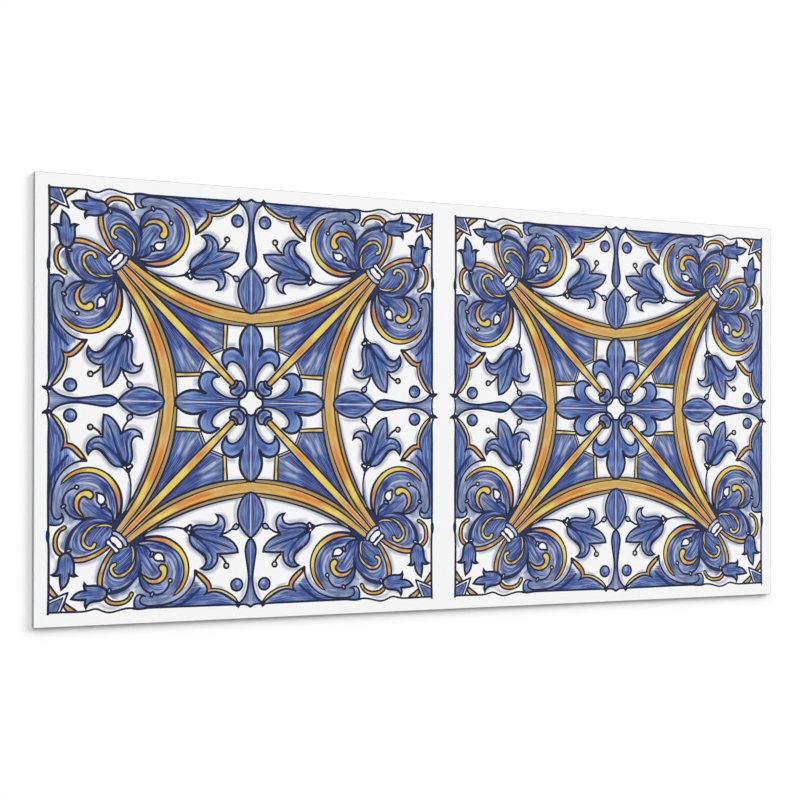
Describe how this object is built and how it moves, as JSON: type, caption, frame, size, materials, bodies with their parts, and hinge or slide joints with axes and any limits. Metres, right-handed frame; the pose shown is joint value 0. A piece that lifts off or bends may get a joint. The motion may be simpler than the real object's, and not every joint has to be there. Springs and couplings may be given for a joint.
{
  "type": "peel and stick wall panel",
  "caption": "Flat rectangular foamed-PVC wall panel with a painted-tile print on its face and a flat self-adhesive back.",
  "frame": {"origin": "middle of the flat adhesive back face", "axes": "+X along the panel's length, +Y along its height as hung on the wall, +Z out of the printed face; the panel is stored lying on its back"},
  "size_m": [0.6, 0.3, 0.004],
  "materials": {
    "printed_sheet": "white foamed PVC, satin printed face"
  },
  "bodies": {
    "root": {"wall_panel": "printed_sheet"}
  },
  "joints": []
}
